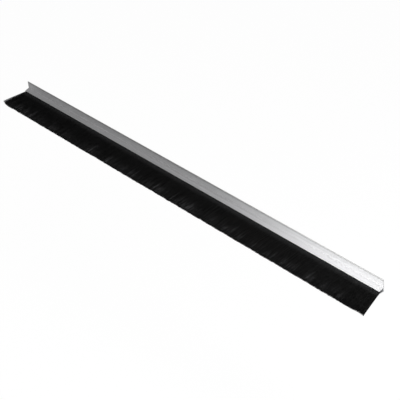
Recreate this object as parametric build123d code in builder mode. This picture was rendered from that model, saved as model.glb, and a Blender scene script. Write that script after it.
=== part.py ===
from build123d import *
from math import cos, radians, sin, tan
import os

# Brush seal strip: an extruded holder with an upright flange and a jaw that grips a strip brush.
# X runs along the strip, -Y is the side that the bristles point to, and +Z is up.
# The origin is the middle of the flat back face, which lies against a door or a frame.
# Lengths are in millimetres and angles in degrees.

# Holder, one aluminium extrusion cut to length
STRIP_LENGTH = 1000.0
BACK_HEIGHT = 22.4
FLANGE_THICKNESS = 1.4
JAW_ANGLE = 80.0  # from straight down to the way that the jaw points
JAW_DEPTH = 8.3  # from the jaw's floor to its lips
JAW_WIDTH = 5.6  # between the walls, at the floor
JAW_TAPER = 8.0  # lean of each wall towards the middle
JAW_WALL = 1.3
BACK_WALL = 1.3  # thinnest metal between the jaw's floor and the back face
FLANGE_EDGE_RADIUS = 0.45
FOOT_RADIUS = 0.8
BEND_RADIUS = 1.2
LIP_OUTER_RADIUS = 0.5
LIP_INNER_RADIUS = 0.3
JAW_CORNER_RADIUS = 1.0

# Backing channel of the brush, folded steel, which lies in the jaw
CHANNEL_CLEARANCE = 0.05
CHANNEL_THICKNESS = 0.5
LIP_SETBACK = 0.7  # the channel's edges lie this far inside the holder's lips

# Core wire and bristles, which are folded round it
WIRE_DIAMETER = 2.0
BRISTLE_CLEARANCE = 0.05
FOLD_THICKNESS = 1.0  # bristles between the wire and the channel's floor
FOLD_RADIUS = 1.4
BRISTLE_REACH = 50.0  # from the holder's lips to the cut tips
TIP_THICKNESS = 5.2
TUFT_PITCH = 8.3
TUFT_GAP = 0.4
RIDGES_PER_TUFT = 4
RIDGE_DEPTH = 0.35
TIP_STEPS = (0.0, 0.5, -0.3, 0.2, -0.5)  # tufts end over or under the cut line by these, in turn
END_SPLAY = 16.0  # lean of the last bristles, outwards past the holder's end
SPLAYED_TUFTS = 3  # tufts at each end over which the lean dies away


def half_height(depth, inset):
    """Half the jaw's opening at a depth, less an inset measured square to its tapered walls."""
    return JAW_WIDTH / 2 - depth * tan(radians(JAW_TAPER)) - inset / cos(radians(JAW_TAPER))


# The jaw's floor stands off the back face by BACK_WALL at its lower corner.
way_out = Vector(0, -sin(radians(JAW_ANGLE)), -cos(radians(JAW_ANGLE)))
way_up = Vector(0, -cos(radians(JAW_ANGLE)), sin(radians(JAW_ANGLE)))
floor_y = -BACK_WALL + way_up.Y * JAW_WIDTH / 2


def depth_on_wall(y, side):
    """Depth at which the jaw's outer face, upper for side 1 and lower for side -1, is at y."""
    rise = side * way_up.Y
    outside = half_height(0, -JAW_WALL)
    return (y - floor_y - rise * outside) / (way_out.Y - rise * tan(radians(JAW_TAPER)))


# The lower outer face meets the back face at the foot of the holder.
foot_depth = depth_on_wall(0, -1)
foot_drop = way_out.Z * foot_depth - way_up.Z * half_height(foot_depth, -JAW_WALL)
floor_z = -BACK_HEIGHT / 2 - foot_drop
bend_depth = depth_on_wall(-FLANGE_THICKNESS, 1)
jaw_floor = Vector(0, floor_y, floor_z)


def section_point(depth, height):
    """A point of the jaw's section as (Y, Z), from its depth and its height over the middle line."""
    spot = jaw_floor + way_out * depth + way_up * height
    return (spot.Y, spot.Z)


# Section of what lies in the jaw, with depth along its x
jaw_section = Plane(origin=jaw_floor, x_dir=way_out, z_dir=(-1, 0, 0))

channel_mouth = JAW_DEPTH - LIP_SETBACK
channel_inside = CHANNEL_CLEARANCE + CHANNEL_THICKNESS
fold_inset = channel_inside + BRISTLE_CLEARANCE
wire_depth = fold_inset + FOLD_THICKNESS + WIRE_DIAMETER / 2


def tapered_section(start, end, inset, radius):
    """Closed outline between two depths, at an inset from the jaw's walls, with its floor corners round."""
    corners = [
        (start, half_height(start, inset)),
        (end, half_height(end, inset)),
        (end, -half_height(end, inset)),
        (start, -half_height(start, inset)),
    ]
    FilletPolyline(*corners, radius=[radius, 0, 0, radius], close=True)


# Holder: one outline, from the top of the back face down and round the jaw
outer = -JAW_WALL
holder_corners = [
    ((0, BACK_HEIGHT / 2), FLANGE_EDGE_RADIUS),
    ((0, -BACK_HEIGHT / 2), FOOT_RADIUS),
    (section_point(JAW_DEPTH, -half_height(JAW_DEPTH, outer)), LIP_OUTER_RADIUS),
    (section_point(JAW_DEPTH, -half_height(JAW_DEPTH, 0)), LIP_INNER_RADIUS),
    (section_point(0, -half_height(0, 0)), JAW_CORNER_RADIUS),
    (section_point(0, half_height(0, 0)), JAW_CORNER_RADIUS),
    (section_point(JAW_DEPTH, half_height(JAW_DEPTH, 0)), LIP_INNER_RADIUS),
    (section_point(JAW_DEPTH, half_height(JAW_DEPTH, outer)), LIP_OUTER_RADIUS),
    (section_point(bend_depth, half_height(bend_depth, outer)), BEND_RADIUS),
    ((-FLANGE_THICKNESS, BACK_HEIGHT / 2), FLANGE_EDGE_RADIUS),
]
with BuildPart() as holder:
    with BuildSketch(Plane.YZ):
        with BuildLine():
            FilletPolyline(
                *[corner for corner, radius in holder_corners],
                radius=[radius for corner, radius in holder_corners],
                close=True,
            )
        make_face()
    extrude(amount=STRIP_LENGTH / 2, both=True)

# Backing channel: a U of folded steel whose legs are pressed in towards the bristles
with BuildPart() as backing_channel:
    with BuildSketch(jaw_section):
        with BuildLine():
            tapered_section(
                CHANNEL_CLEARANCE, channel_mouth, CHANNEL_CLEARANCE, JAW_CORNER_RADIUS - CHANNEL_CLEARANCE
            )
        make_face()
        with BuildLine():
            tapered_section(
                channel_inside, channel_mouth, channel_inside, JAW_CORNER_RADIUS - channel_inside
            )
        make_face(mode=Mode.SUBTRACT)
    extrude(amount=STRIP_LENGTH / 2, both=True)

# Core wire: it holds the fold of the bristles down in the channel
with BuildPart() as core_wire:
    with BuildSketch(jaw_section):
        with Locations((wire_depth, 0)):
            Circle(WIRE_DIAMETER / 2)
    extrude(amount=STRIP_LENGTH / 2, both=True)


# Bristles: the fold in the channel and, past its mouth, tufts that widen to the cut tips
tuft_count = round(STRIP_LENGTH / TUFT_PITCH)
tuft_width = STRIP_LENGTH / tuft_count
free_length = JAW_DEPTH + BRISTLE_REACH - channel_mouth
mouth_half_thickness = half_height(channel_mouth, fold_inset)
flare = (TIP_THICKNESS / 2 - mouth_half_thickness) / free_length
mouth_middle = jaw_floor + way_out * channel_mouth


def mouth_plane(x):
    """Plane of the channel's mouth, centred on x, with the strip's length along its own x."""
    return Plane(origin=mouth_middle + Vector(x, 0, 0), x_dir=(1, 0, 0), z_dir=way_out)


def ridged_edge(width, half_thickness, side):
    """Crests and valleys across a tuft, on its upper side for side 1 and its lower side for -1."""
    steps = 2 * RIDGES_PER_TUFT
    return [
        (width * (step / steps - 0.5), side * (half_thickness - RIDGE_DEPTH * (1 - step % 2)))
        for step in range(steps + 1)
    ]


def straight_tuft(length):
    """A tuft of the straight run: the ridges of each side are drawn out along that side's flare."""
    width = tuft_width - TUFT_GAP
    with BuildPart(mode=Mode.PRIVATE) as tuft:
        for side, mode in ((1, Mode.ADD), (-1, Mode.INTERSECT)):
            slope = way_out + way_up * (side * flare)
            past_other_side = -side * TIP_THICKNESS
            with BuildSketch(mouth_plane(0)):
                with BuildLine():
                    Polyline(
                        *ridged_edge(width, mouth_half_thickness, side),
                        (width / 2, past_other_side),
                        (-width / 2, past_other_side),
                        close=True,
                    )
                make_face()
            extrude(amount=length * slope.length, dir=slope, mode=mode)
    return tuft.part


def tip_at(edges_in):
    """Where the bristle at a tuft edge near the right end has its tip, counting edges from the end."""
    lean = radians(END_SPLAY * (1 - edges_in / SPLAYED_TUFTS) ** 2)
    mouth = Vector(STRIP_LENGTH / 2 - edges_in * tuft_width, 0, 0)
    return mouth + Vector(1, 0, 0) * (free_length * sin(lean)) + way_out * (free_length * cos(lean))


def splayed_tuft(edges_in):
    """A tuft near the right end, whose outer edge has this many tuft edges outside it."""
    outer_tip = tip_at(edges_in)
    inner_tip = tip_at(edges_in + 1)
    chord = outer_tip - inner_tip
    foot = mouth_plane(STRIP_LENGTH / 2 - (edges_in + 0.5) * tuft_width)
    head = Plane(
        origin=mouth_middle + (outer_tip + inner_tip) * 0.5,
        x_dir=chord,
        z_dir=chord.cross(way_up),
    )
    with BuildPart(mode=Mode.PRIVATE) as tuft:
        for plane, pitch, half_thickness in (
            (foot, tuft_width, mouth_half_thickness),
            (head, chord.length, TIP_THICKNESS / 2),
        ):
            width = pitch - TUFT_GAP
            with BuildSketch(plane):
                with BuildLine():
                    Polyline(
                        *ridged_edge(width, half_thickness, 1),
                        *reversed(ridged_edge(width, half_thickness, -1)),
                        close=True,
                    )
                make_face()
        loft(ruled=True)
    return tuft.part


right_fan = [splayed_tuft(edges_in) for edges_in in range(SPLAYED_TUFTS)]
left_fan = [tuft.mirror(Plane.YZ) for tuft in right_fan]
patterns = [straight_tuft(free_length + step) for step in TIP_STEPS]
straight_run = []
for number in range(SPLAYED_TUFTS, tuft_count - SPLAYED_TUFTS):
    middle = (number + 0.5) * tuft_width - STRIP_LENGTH / 2
    straight_run.append(patterns[number % len(patterns)].moved(Location((middle, 0, 0))))

with BuildPart() as bristles:
    with BuildSketch(jaw_section):
        with BuildLine():
            tapered_section(fold_inset, channel_mouth, fold_inset, FOLD_RADIUS)
        make_face()
        with Locations((wire_depth, 0)):
            Circle(WIRE_DIAMETER / 2 + BRISTLE_CLEARANCE, mode=Mode.SUBTRACT)
    extrude(amount=STRIP_LENGTH / 2, both=True)
    add(left_fan + straight_run + right_fan)

os.makedirs("parts", exist_ok=True)
for node, piece in {
    "holder": holder,
    "backing_channel": backing_channel,
    "core_wire": core_wire,
    "bristles": bristles,
}.items():
    piece.part.label = node
    export_step(piece.part, f"parts/{node}.step")
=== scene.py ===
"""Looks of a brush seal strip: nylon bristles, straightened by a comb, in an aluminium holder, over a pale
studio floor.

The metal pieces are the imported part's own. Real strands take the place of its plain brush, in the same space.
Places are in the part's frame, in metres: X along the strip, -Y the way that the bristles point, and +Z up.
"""

from math import cos, pi, radians, sin

import bmesh
import bpy
import numpy as np
from mathutils import Matrix, Quaternion, Vector


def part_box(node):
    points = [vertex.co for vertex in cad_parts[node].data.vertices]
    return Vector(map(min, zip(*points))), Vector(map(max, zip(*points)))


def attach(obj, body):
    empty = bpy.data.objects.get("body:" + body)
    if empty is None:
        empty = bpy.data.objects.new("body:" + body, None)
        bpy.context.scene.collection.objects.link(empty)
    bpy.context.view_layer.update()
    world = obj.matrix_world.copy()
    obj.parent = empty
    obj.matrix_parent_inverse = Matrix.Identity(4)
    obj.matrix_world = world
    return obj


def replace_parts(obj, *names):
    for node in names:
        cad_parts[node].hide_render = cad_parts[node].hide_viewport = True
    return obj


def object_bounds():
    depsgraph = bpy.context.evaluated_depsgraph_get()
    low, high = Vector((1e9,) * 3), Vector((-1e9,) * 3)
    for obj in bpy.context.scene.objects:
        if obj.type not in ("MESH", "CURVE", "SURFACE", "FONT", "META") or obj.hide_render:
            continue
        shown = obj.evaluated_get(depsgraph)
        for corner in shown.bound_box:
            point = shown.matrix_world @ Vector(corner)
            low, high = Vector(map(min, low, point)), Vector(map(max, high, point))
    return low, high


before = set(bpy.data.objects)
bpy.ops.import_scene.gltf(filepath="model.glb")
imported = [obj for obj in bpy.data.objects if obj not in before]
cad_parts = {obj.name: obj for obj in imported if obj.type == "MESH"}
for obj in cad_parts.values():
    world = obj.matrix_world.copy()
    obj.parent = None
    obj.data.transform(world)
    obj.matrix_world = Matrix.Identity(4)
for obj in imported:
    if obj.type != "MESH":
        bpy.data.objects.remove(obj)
cad_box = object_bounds()

MM = 0.001

# The brush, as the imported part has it
JAW_ANGLE = radians(80)  # from straight down to the way that the jaw points
WIRE_TO_MOUTH = 5.0 * MM  # from the core wire's middle to the channel's edges
MOUTH_TO_LIPS = 0.7 * MM  # the channel's edges lie this far inside the holder's lips
MOUTH_THICKNESS = 2.2 * MM
LIP_THICKNESS = 3.1 * MM  # the bristles fill the opening between the lips
TIP_THICKNESS = 5.0 * MM
FREE_LENGTH = 50.7 * MM  # from the channel's mouth to the cut tips
TUFT_PITCH = 8.33 * MM
END_SPLAY = radians(16)  # lean of the last bristles past the holder's end
FAR_SPLAY = radians(6.8)  # the same at the far end, where only a thin fan leans as far as END_SPLAY
SPLAY_REACH = 25 * MM  # the lean dies away over this much of the strip

# Single strands
STRAND_THICKNESS = 0.36 * MM  # a real one is 0.2 to 0.3 mm, too thin to show from here
IN_CHANNEL = -1.5 * MM  # strands that could show their lower ends start this far behind the mouth
PALE_RAMP = 5 * MM  # a strand turns pale over this much of its length
CHANCE_REACH = 0.6  # chance is drawn this far to each side of the strip's middle, which is past its ends
SEED = 42

# Patterns in the finishes
DIE_LINE_PITCH = 1.25 * MM
DIE_LINE_LENGTH = 250 * MM
CRYSTAL_SIZE = 2.5 * MM
WAVE_WIDTH = pi / 10  # of one band of a wave texture whose scale is 1

# Sockets of a node that mixes colours, where several share a name
SHARE, FIRST, SECOND = 0, 6, 7
MIXED = 2

wire_low, wire_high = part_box("core_wire")
half_strip = wire_high.x
way_out = Vector((0, -sin(JAW_ANGLE), -cos(JAW_ANGLE)))
way_up = Vector((0, -cos(JAW_ANGLE), sin(JAW_ANGLE)))
wire_middle = Vector((0, (wire_low.y + wire_high.y) / 2, (wire_low.z + wire_high.z) / 2))
mouth = wire_middle + way_out * WIRE_TO_MOUTH
draw = np.random.default_rng(SEED)


def mesh_of(name, bm):
    """The mesh of a bmesh, which is freed."""
    mesh = bpy.data.meshes.new(name)
    bm.to_mesh(mesh)
    bm.free()
    return mesh


def in_scene(name, mesh, material):
    """A mesh as an object of the scene, with its material."""
    mesh.materials.append(material)
    made = bpy.data.objects.new(name, mesh)
    bpy.context.scene.collection.objects.link(made)
    return made


# Strands


def waves(places, spacing):
    """Smooth chance from -1 to 1 along the strip, which changes over this spacing."""
    knots = np.arange(-CHANCE_REACH, CHANCE_REACH, spacing)
    return np.interp(places, knots, draw.uniform(-1, 1, len(knots)))


def roots(count):
    """Places along the strip, one for each strand, evenly spread with a little chance."""
    pitch = 2 * half_strip / count
    return -half_strip + pitch * (np.arange(count) + 0.5 + draw.uniform(-0.4, 0.4, count))


def lean_at(root):
    """How far the comb leaves a strand leaning along the strip, in radians. It is straighter near the ends."""
    from_end = half_strip - np.abs(root)
    most = np.where(root > 0, END_SPLAY, -FAR_SPLAY)
    splay = most * np.clip(1 - from_end / SPLAY_REACH, 0, 1) ** 2
    by_tuft = radians(2.2) * waves(root, TUFT_PITCH)
    by_clump = radians(2.0) * waves(root, 2.5 * MM)
    by_strand = radians(1.5) * draw.normal(0, 1, len(root))
    calm = np.clip(from_end / (12 * MM), 0.1, 1)
    return splay + calm * (by_tuft + by_clump + by_strand)


def length_at(root):
    """Where a strand's cut tip is: on an uneven line, calmer at the near end, whose last strands are longer."""
    from_near_end = half_strip - root
    by_tuft = 0.35 * waves(root, TUFT_PITCH)
    by_clump = 0.45 * waves(root, 3 * MM)
    by_strand = 0.3 * draw.normal(0, 1, len(root))
    uneven = MM * np.clip(by_tuft + by_clump + by_strand, -1.2, 0.8)
    calm = np.clip(from_near_end / (10 * MM), 0.2, 1)
    corner = 2.2 * MM * np.clip(1 - from_near_end / (4 * MM), 0, 1)
    return FREE_LENGTH + calm * uneven + corner


def painted_glints_in_clumps(root):
    """How pale a strand's outer half is, as a painted glint: clumps of strands are paler, with darker ones
    between.
    """
    by_clump = 0.9 * waves(root, 2 * MM)
    by_stretch = 0.5 * waves(root, 20 * MM)
    glint_share = np.clip(by_clump + by_stretch - 0.2, 0, 1)
    return 0.06 * glint_share * draw.uniform(0.2, 1, len(root))


def straight_strands(tufts, in_tuft, joints):
    """A row of strands, one unit long along Y and a strand's thickness apart along X, for comb() to lay."""
    bm = bmesh.new()
    bmesh.ops.create_cone(
        bm,
        segments=3,
        radius1=STRAND_THICKNESS / 2,
        radius2=STRAND_THICKNESS / 2,
        depth=1,
        cap_ends=True,
        matrix=Matrix.Translation((0, 0.5, 0)) @ Matrix.Rotation(-pi / 2, 4, "X"),
    )
    for joint in range(1, joints):
        bmesh.ops.bisect_plane(
            bm,
            geom=bm.verts[:] + bm.edges[:] + bm.faces[:],
            plane_co=(0, joint / joints, 0),
            plane_no=(0, 1, 0),
        )
    for count, step in ((in_tuft, STRAND_THICKNESS), (tufts, in_tuft * STRAND_THICKNESS)):
        if count > 1:
            bmesh.ops.spin(
                bm,
                geom=bm.verts[:] + bm.edges[:] + bm.faces[:],
                dvec=(step, 0, 0),
                axis=(0, 0, 1),
                steps=count - 1,
                use_duplicate=True,
            )
    return mesh_of("strands", bm)


def comb(
    name, in_tuft, joints, root, level, start, length, lean, lift=0, bend=0, thick=1, shade=0, pale_from=0
):
    """Lays a row of strands in the brush.

    root is each strand's place along the strip, level its place from the brush's middle, 0, to its upper or
    lower side, 1 or -1, and lean its angle along the strip. start and length are how far from the channel's
    mouth it begins and ends. lift and bend carry its tip out of the brush and along the strip, thick is its
    share of a strand's thickness, and shade is how pale it is past the length pale_from.
    """
    count = len(root)
    mesh = straight_strands(count // in_tuft, in_tuft, joints)
    spots = np.empty(len(mesh.vertices) * 3)
    mesh.vertices.foreach_get("co", spots)
    spots = spots.reshape(count, -1, 3)
    given = (root, level, start, length, lean, lift, bend, thick, shade, pale_from)
    columns = [np.broadcast_to(value, count)[:, None] for value in given]
    root, level, start, length, lean, lift, bend, thick, shade, pale_from = columns

    turn = draw.uniform(0, 2 * pi, count)[:, None]
    side = spots[..., 0] - np.arange(count)[:, None] * STRAND_THICKNESS
    along = spots[..., 1]
    rise = spots[..., 2]
    across = (side * np.cos(turn) - rise * np.sin(turn)) * thick
    over = (side * np.sin(turn) + rise * np.cos(turn)) * thick

    out = start + (length - start) * along
    brush_thickness = np.interp(
        out,
        (0, MOUTH_TO_LIPS, FREE_LENGTH),
        (MOUTH_THICKNESS, LIP_THICKNESS, TIP_THICKNESS),
    )
    x = root + np.sin(lean) * np.maximum(out, 0) + across * np.cos(lean) + bend * along**2
    depth = np.where(out > 0, out * np.cos(lean), out) - across * np.sin(lean)
    height = level * np.maximum((brush_thickness - STRAND_THICKNESS) / 2, 0) + over + lift * along**2
    laid = np.array(mouth) + x[..., None] * np.array((1, 0, 0))
    laid = laid + depth[..., None] * np.array(way_out) + height[..., None] * np.array(way_up)
    mesh.vertices.foreach_set("co", laid.ravel())

    paleness = shade * np.clip((out - pale_from) / PALE_RAMP, 0, 1)
    for label, values in (("shade", paleness), ("along", along)):
        mesh.attributes.new(label, "FLOAT", "POINT").data.foreach_set("value", values.ravel())
    mesh.flip_normals()  # along the strip, out and up are a left-handed frame
    mesh.shade_smooth()
    mesh.update()
    piece = in_scene(name, mesh, nylon_strands)
    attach(piece, "root")
    return piece


# Materials


def paint(code):
    """The linear colour of an sRGB hex value."""
    parts = [int(code[i : i + 2], 16) / 255 for i in (1, 3, 5)]
    return [c / 12.92 if c <= 0.04045 else ((c + 0.055) / 1.055) ** 2.4 for c in parts] + [1.0]


def add(tree, kind, inputs=None, **settings):
    """Adds a node to a tree. Each input is a plain value or the output of another node."""
    made = tree.nodes.new("ShaderNode" + kind)
    for name, value in settings.items():
        setattr(made, name, value)
    for socket, value in (inputs or {}).items():
        if isinstance(value, bpy.types.NodeSocket):
            tree.links.new(value, made.inputs[socket])
        else:
            made.inputs[socket].default_value = value
    return made


def finish_of(name):
    """A new material, with its node tree and its shader."""
    material = bpy.data.materials.new(name)
    material.use_nodes = True
    return material, material.node_tree, material.node_tree.nodes["Principled BSDF"]


def black_monofilament():
    """Black nylon monofilament, drawn and cut: near black, with a soft sheen, and paler at the cut ends, partly
    from wear and partly as a painted sheen.

    Where the strands leave the lips, a faint grey line is painted along them: a painted sheen, for the light
    that they catch there.
    """
    material, tree, shader = finish_of("black_nylon_monofilament")
    shade = add(tree, "Attribute", attribute_name="shade")
    along = add(tree, "Attribute", attribute_name="along")
    # painted sheen: a paler band on the strands just past the lips, for the light that they catch
    painted_root_sheen = add(
        tree,
        "MapRange",
        {"Value": along.outputs["Fac"], "From Min": 0.05, "From Max": 0.25, "To Min": 0.075, "To Max": 0},
    )
    # paler cut ends: partly wear and partly a painted sheen
    glint_and_wear = add(
        tree,
        "MapRange",
        {"Value": along.outputs["Fac"], "From Min": 0.7, "From Max": 1.0, "To Max": 0.02},
    )
    ends = add(tree, "Math", {0: painted_root_sheen.outputs["Result"], 1: glint_and_wear.outputs["Result"]}, operation="ADD")
    pale = add(tree, "Math", {0: shade.outputs["Fac"], 1: ends.outputs[0]}, operation="ADD", use_clamp=True)
    colour = add(
        tree,
        "Mix",
        {SHARE: pale.outputs[0], FIRST: paint("#050505"), SECOND: paint("#8c8c8e")},
        data_type="RGBA",
    )
    tree.links.new(colour.outputs[MIXED], shader.inputs["Base Color"])
    shader.inputs["Roughness"].default_value = 0.5
    shader.inputs["IOR"].default_value = 1.53
    shader.inputs["Specular IOR Level"].default_value = 0.045
    return material


def folded_monofilament():
    """The same nylon where it is folded: black, with fine ribs, because the strands lie side by side."""
    material, tree, shader = finish_of("folded_nylon_monofilament")
    place = add(tree, "TexCoord")
    ribs = add(
        tree,
        "TexWave",
        {
            "Vector": place.outputs["Object"],
            "Scale": WAVE_WIDTH / STRAND_THICKNESS,
            "Distortion": 1.5,
            "Detail": 1.0,
        },
        bands_direction="X",
    )
    relief = add(tree, "Bump", {"Height": ribs.outputs["Fac"], "Strength": 0.8, "Distance": 0.2 * MM})
    colour = add(
        tree,
        "Mix",
        {SHARE: ribs.outputs["Fac"], FIRST: paint("#040404"), SECOND: paint("#141414")},
        data_type="RGBA",
    )
    tree.links.new(colour.outputs[MIXED], shader.inputs["Base Color"])
    tree.links.new(relief.outputs["Normal"], shader.inputs["Normal"])
    shader.inputs["Roughness"].default_value = 0.5
    shader.inputs["IOR"].default_value = 1.53
    shader.inputs["Specular IOR Level"].default_value = 0.08
    return material


def satin_aluminium():
    """Extruded aluminium with a satin mill finish: bright and soft, with faint die lines along the strip.

    Real die lines are about a tenth of a millimetre apart. These are coarser, or they wouldn't show. The gloss
    is stretched across them, as on drawn metal. The flange's upper edge is painted darker, as a painted shade.
    """
    material, tree, shader = finish_of("satin_mill_finish_aluminium")
    place = add(tree, "TexCoord")
    line_scale = (1 / DIE_LINE_LENGTH, 1 / DIE_LINE_PITCH, 1 / DIE_LINE_PITCH)
    drawn = add(tree, "Mapping", {"Vector": place.outputs["Object"], "Scale": line_scale})
    lines = add(tree, "TexNoise", {"Vector": drawn.outputs[0], "Scale": 1.0, "Detail": 3.0})
    rough = add(tree, "MapRange", {"Value": lines.outputs["Fac"], "To Min": 0.5, "To Max": 0.54})
    share = add(tree, "MapRange", {"Value": lines.outputs["Fac"], "From Min": 0.3, "From Max": 0.7})
    bright = add(
        tree,
        "Mix",
        {SHARE: share.outputs["Result"], FIRST: paint("#e6e6e7"), SECOND: paint("#f9f9fa")},
        data_type="RGBA",
    )
    spot = add(tree, "SeparateXYZ", {0: place.outputs["Object"]})
    # painted shade: the flange is painted darker towards its upper edge
    edge = add(tree, "MapRange", {"Value": spot.outputs["Z"], "From Min": 7 * MM, "From Max": 10 * MM})
    colour = add(
        tree,
        "Mix",
        {SHARE: edge.outputs["Result"], FIRST: bright.outputs[MIXED], SECOND: paint("#d3d3d3")},
        data_type="RGBA",
    )
    relief = add(tree, "Bump", {"Height": lines.outputs["Fac"], "Strength": 0.15, "Distance": 0.02 * MM})
    facing = add(tree, "NewGeometry")
    around = add(tree, "VectorMath", {0: facing.outputs["Normal"], 1: (1, 0, 0)}, operation="CROSS_PRODUCT")
    # The sawn ends face along X, so this small push gives them a direction too
    stretch = add(tree, "VectorMath", {0: around.outputs["Vector"], 1: (0, 0.02, 0)}, operation="ADD")
    tree.links.new(colour.outputs[MIXED], shader.inputs["Base Color"])
    tree.links.new(rough.outputs["Result"], shader.inputs["Roughness"])
    tree.links.new(relief.outputs["Normal"], shader.inputs["Normal"])
    tree.links.new(stretch.outputs["Vector"], shader.inputs["Tangent"])
    shader.inputs["Anisotropic"].default_value = 1.0
    shader.inputs["Metallic"].default_value = 1.0
    return material


def galvanised_sheet():
    """Galvanised strip steel, folded: dull grey zinc with faint crystals."""
    material, tree, shader = finish_of("galvanised_strip_steel")
    place = add(tree, "TexCoord")
    crystals = add(tree, "TexVoronoi", {"Vector": place.outputs["Object"], "Scale": 1 / CRYSTAL_SIZE})
    rough = add(tree, "MapRange", {"Value": crystals.outputs["Distance"], "To Min": 0.35, "To Max": 0.55})
    tree.links.new(rough.outputs["Result"], shader.inputs["Roughness"])
    shader.inputs["Base Color"].default_value = paint("#b4b7b9")
    shader.inputs["Metallic"].default_value = 1.0
    return material


nylon_strands = black_monofilament()
nylon_fold = folded_monofilament()
aluminium = satin_aluminium()
zinc = galvanised_sheet()

for name, material in (("holder", aluminium), ("backing_channel", zinc), ("core_wire", zinc)):
    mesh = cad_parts[name].data
    mesh.materials.clear()
    mesh.materials.append(material)


# Brush


def outer_bristles(name, side, count=7200):
    """The strands of one side of the brush, most of them near its surface."""
    root = roots(count)
    deep = 0.5 * draw.uniform(0, 1, count) ** 2
    return comb(
        name,
        in_tuft=60,
        joints=4,
        root=root,
        level=side * (1 - deep),
        start=IN_CHANNEL,
        length=length_at(root),
        lean=lean_at(root),
        lift=side * 0.12 * MM * draw.normal(0, 1, count),
        bend=0.4 * MM * draw.normal(0, 1, count),
        # painted glints on clumps of strands
        shade=painted_glints_in_clumps(root),
        pale_from=0.5 * FREE_LENGTH,
    )


def inner_bristles(count=16000):
    """The strands between, of which only the cut tips and the ends of the strip show."""
    root = roots(count)
    return comb(
        "bristles_inner",
        in_tuft=100,
        joints=1,
        root=root,
        level=draw.uniform(-0.75, 0.75, count),
        start=0,
        length=length_at(root) - 0.2 * MM,
        lean=lean_at(root),
        # painted glints on clumps of strands
        shade=painted_glints_in_clumps(root),
        pale_from=0.5 * FREE_LENGTH,
    )


def stray_bristles(clumps=130, in_clump=4):
    """Strands that the comb missed: they leave their tufts a little, on the upper side, and have a painted
    glint.
    """
    count = clumps * in_clump
    middle = np.repeat(draw.uniform(-0.97, 0.94, clumps) * half_strip, in_clump)
    clump_lean = np.repeat(radians(4) * draw.normal(0, 1, clumps), in_clump)
    own_lean = radians(3) * draw.normal(0, 1, count)
    # painted glint: some clumps of strays are painted much paler than others
    glint_and_wear = np.repeat(draw.uniform(0, 1, clumps) ** 3, in_clump)
    return comb(
        "bristles_stray",
        in_tuft=in_clump,
        joints=8,
        root=middle + 2.2 * MM * draw.normal(0, 1, count),
        level=1.0,
        start=IN_CHANNEL,
        length=FREE_LENGTH - 4 * MM * draw.uniform(0, 1, count) ** 2,
        lean=clump_lean + own_lean,
        lift=draw.uniform(0.2, 1.2, count) * MM,
        bend=1.5 * MM * draw.normal(0, 1, count),
        shade=0.04 + 0.36 * glint_and_wear * draw.uniform(0.3, 1, count),
        pale_from=FREE_LENGTH * draw.uniform(0.5, 0.9, count),
    )


def far_fan(count=96):
    """The thin fan of strands past the dense brush at the far end: it lets light through and has a painted
    sheen.
    """
    share = draw.uniform(0, 1, count)
    least_lean = 0.9 * FAR_SPLAY
    return comb(
        "bristles_far_fan",
        in_tuft=16,
        joints=4,
        root=-half_strip + 0.8 * MM * (1 - share) + 0.15 * MM,
        level=draw.uniform(-0.9, 1, count),
        start=IN_CHANNEL,
        length=FREE_LENGTH - draw.uniform(0.2, 2.5, count) * MM,
        lean=-(least_lean + (END_SPLAY - least_lean) * share),
        thick=0.8,
        # painted sheen: the fan's strands are painted pale, for light glancing off them
        shade=draw.uniform(0.5, 1.0, count),
        pale_from=-PALE_RAMP,
    )


def fold_of_bristles():
    """The bristles' fold round the core wire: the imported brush, cut off at the channel's mouth."""
    bm = bmesh.new()
    bm.from_mesh(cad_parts["bristles"].data)
    bmesh.ops.remove_doubles(bm, verts=bm.verts[:], dist=0.001 * MM)
    bmesh.ops.bisect_plane(
        bm,
        geom=bm.verts[:] + bm.edges[:] + bm.faces[:],
        plane_co=mouth - way_out * 0.05 * MM,
        plane_no=way_out,
        clear_outer=True,
    )
    bmesh.ops.holes_fill(bm, edges=[edge for edge in bm.edges if edge.is_boundary])
    piece = in_scene("bristle_fold", mesh_of("bristle_fold", bm), nylon_fold)
    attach(piece, "root")
    return piece


outer_bristles("bristles_upper", 1)
outer_bristles("bristles_lower", -1)
inner_bristles()
stray_bristles()
far_fan()
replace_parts(fold_of_bristles(), "bristles")


# Studio

# The photograph's viewpoint. The camera aims to the right of the part's origin and below it in the picture.
VIEW_AZIMUTH, VIEW_ELEVATION, VIEW_ROLL = radians(53.98), radians(31.77), radians(-5.98)
VIEW_DISTANCE = 2.49
VIEW_RIGHT, VIEW_DOWN = 0.0320, 0.0497
SENSOR = 36.0  # mm
LENS = 125.7  # mm, a long portrait lens that keeps the strip's far end large

FLOOR_BELOW = 0.25  # the floor is this far below the part, so no shadow falls beside it
FLOOR_SIZE = 12
ROOM_LIGHT = 0.6  # strength of the white room on the part
CARD_AWAY, CARD_RADIUS = 0.65, 1.14  # from the part's origin to the grey card, along the strip


def camera():
    """The camera, at the photograph's viewing angle."""
    back = Vector(
        (
            sin(VIEW_AZIMUTH) * cos(VIEW_ELEVATION),
            -cos(VIEW_AZIMUTH) * cos(VIEW_ELEVATION),
            sin(VIEW_ELEVATION),
        )
    )
    turn = back.to_track_quat("Z", "Y") @ Quaternion((0, 0, 1), VIEW_ROLL)
    data = bpy.data.cameras.new("camera")
    data.lens, data.sensor_width = LENS, SENSOR
    data.clip_start, data.clip_end = 0.05, 50
    seen = bpy.data.objects.new("camera", data)
    seen.rotation_mode = "QUATERNION"
    seen.rotation_quaternion = turn
    seen.location = back * VIEW_DISTANCE + turn @ Vector((VIEW_RIGHT, -VIEW_DOWN, 0))
    bpy.context.scene.collection.objects.link(seen)
    bpy.context.scene.camera = seen


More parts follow.
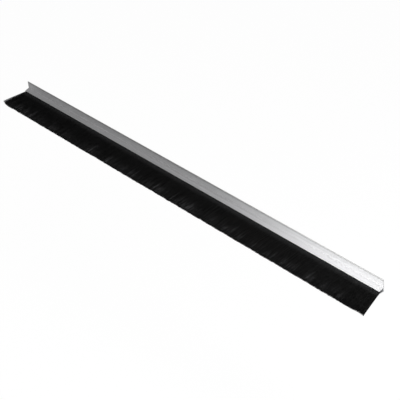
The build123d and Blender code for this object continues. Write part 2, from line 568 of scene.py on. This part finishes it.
def white_for_show(tree):
    """1 for a ray from the camera, or one that metal or glass sends on, and 0 for light on a surface."""
    path = add(tree, "LightPath")
    shown = path.outputs["Is Camera Ray"]
    for ray in ("Is Glossy Ray", "Is Transmission Ray"):
        either = add(tree, "Math", {0: shown, 1: path.outputs[ray]}, operation="ADD", use_clamp=True)
        shown = either.outputs[0]
    return shown


def surroundings():
    """A white room round the part."""
    world = bpy.data.worlds.new("white_room")
    world.use_nodes = True
    bpy.context.scene.world = world
    tree = world.node_tree
    level = add(tree, "MapRange", {"Value": white_for_show(tree), "To Min": ROOM_LIGHT, "To Max": 1.0})
    tree.links.new(level.outputs["Result"], tree.nodes["Background"].inputs["Strength"])
    tree.nodes["Background"].inputs["Color"].default_value = (1, 1, 1, 1)


def stage_finish(name):
    """A new material for the stage, with its node tree and its surface socket, which is free."""
    material = bpy.data.materials.new(name)
    material.use_nodes = True
    tree = material.node_tree
    tree.nodes.remove(tree.nodes["Principled BSDF"])
    return material, tree, tree.nodes["Material Output"].inputs["Surface"]


def floor():
    """A floor of white paper: white to look at, with a trace of its shade, and plain paper to the lamps."""
    material, tree, surface = stage_finish("white_paper_floor")
    paper = add(tree, "BsdfDiffuse", {"Color": paint("#f2f2f2")})
    white = add(tree, "Emission", {"Color": (1, 1, 1, 1), "Strength": 1.0})
    share = add(tree, "Math", {0: white_for_show(tree), 1: 0.95}, operation="MULTIPLY")
    mixed = add(tree, "MixShader", {0: share.outputs[0], 1: paper.outputs[0], 2: white.outputs[0]})
    tree.links.new(mixed.outputs[0], surface)
    bm = bmesh.new()
    low = Matrix.Translation((0, 0, cad_box[0].z - FLOOR_BELOW))
    bmesh.ops.create_grid(bm, x_segments=1, y_segments=1, size=FLOOR_SIZE / 2, matrix=low)
    in_scene("floor", mesh_of("floor", bm), material)


def grey_card():
    """A round grey card past the strip's far end, which only gloss shows: the metal mirrors it on that side."""
    material, tree, surface = stage_finish("grey_card")
    place = add(tree, "TexCoord")
    spot = add(tree, "SeparateXYZ", {0: place.outputs["Object"]})
    level = add(
        tree,
        "MapRange",
        {"Value": spot.outputs["Y"], "From Min": -0.8, "From Max": 0.2, "To Min": 0.435, "To Max": 0.34},
    )
    grey = add(tree, "Emission", {"Color": (1, 1, 1, 1), "Strength": level.outputs["Result"]})
    tree.links.new(grey.outputs[0], surface)
    bm = bmesh.new()
    stand = Matrix.Translation((-CARD_AWAY, 0, 0)) @ Matrix.Rotation(pi / 2, 4, "Y")
    bmesh.ops.create_circle(bm, cap_ends=True, segments=64, radius=CARD_RADIUS, matrix=stand)
    card = in_scene("grey_card", mesh_of("grey_card", bm), material)
    card.visible_camera = False
    card.visible_diffuse = False
    card.visible_shadow = False


def soft_box(name, place, aim, width, height, watts):
    """A rectangle of soft light, which shows in gloss but not to the camera."""
    data = bpy.data.lights.new(name, "AREA")
    data.shape, data.size, data.size_y = "RECTANGLE", width, height
    data.energy = watts
    lamp = bpy.data.objects.new(name, data)
    lamp.location = place
    lamp.rotation_mode = "QUATERNION"
    lamp.rotation_quaternion = (Vector(place) - Vector(aim)).to_track_quat("Z", "Y")
    lamp.visible_camera = False
    bpy.context.scene.collection.objects.link(lamp)


camera()
surroundings()
floor()
grey_card()
soft_box("key_light", place=(0.9, -1.2, 2.2), aim=(0, 0, 0), width=2.0, height=1.5, watts=20)
soft_box("near_light", place=(-0.35, -1.5, 0), aim=(0.4, 0, 0), width=0.9, height=0.8, watts=6.9)
soft_box("top_light", place=(-0.55, 0, 1.5), aim=(0.4, 0, 0), width=0.75, height=0.6, watts=2.6)
soft_box("sheen_light", place=(0.65, 0.2, 0.55), aim=(0.42, 0, 0), width=0.4, height=0.3, watts=4.5)
bpy.context.scene.view_settings.view_transform = "Standard"
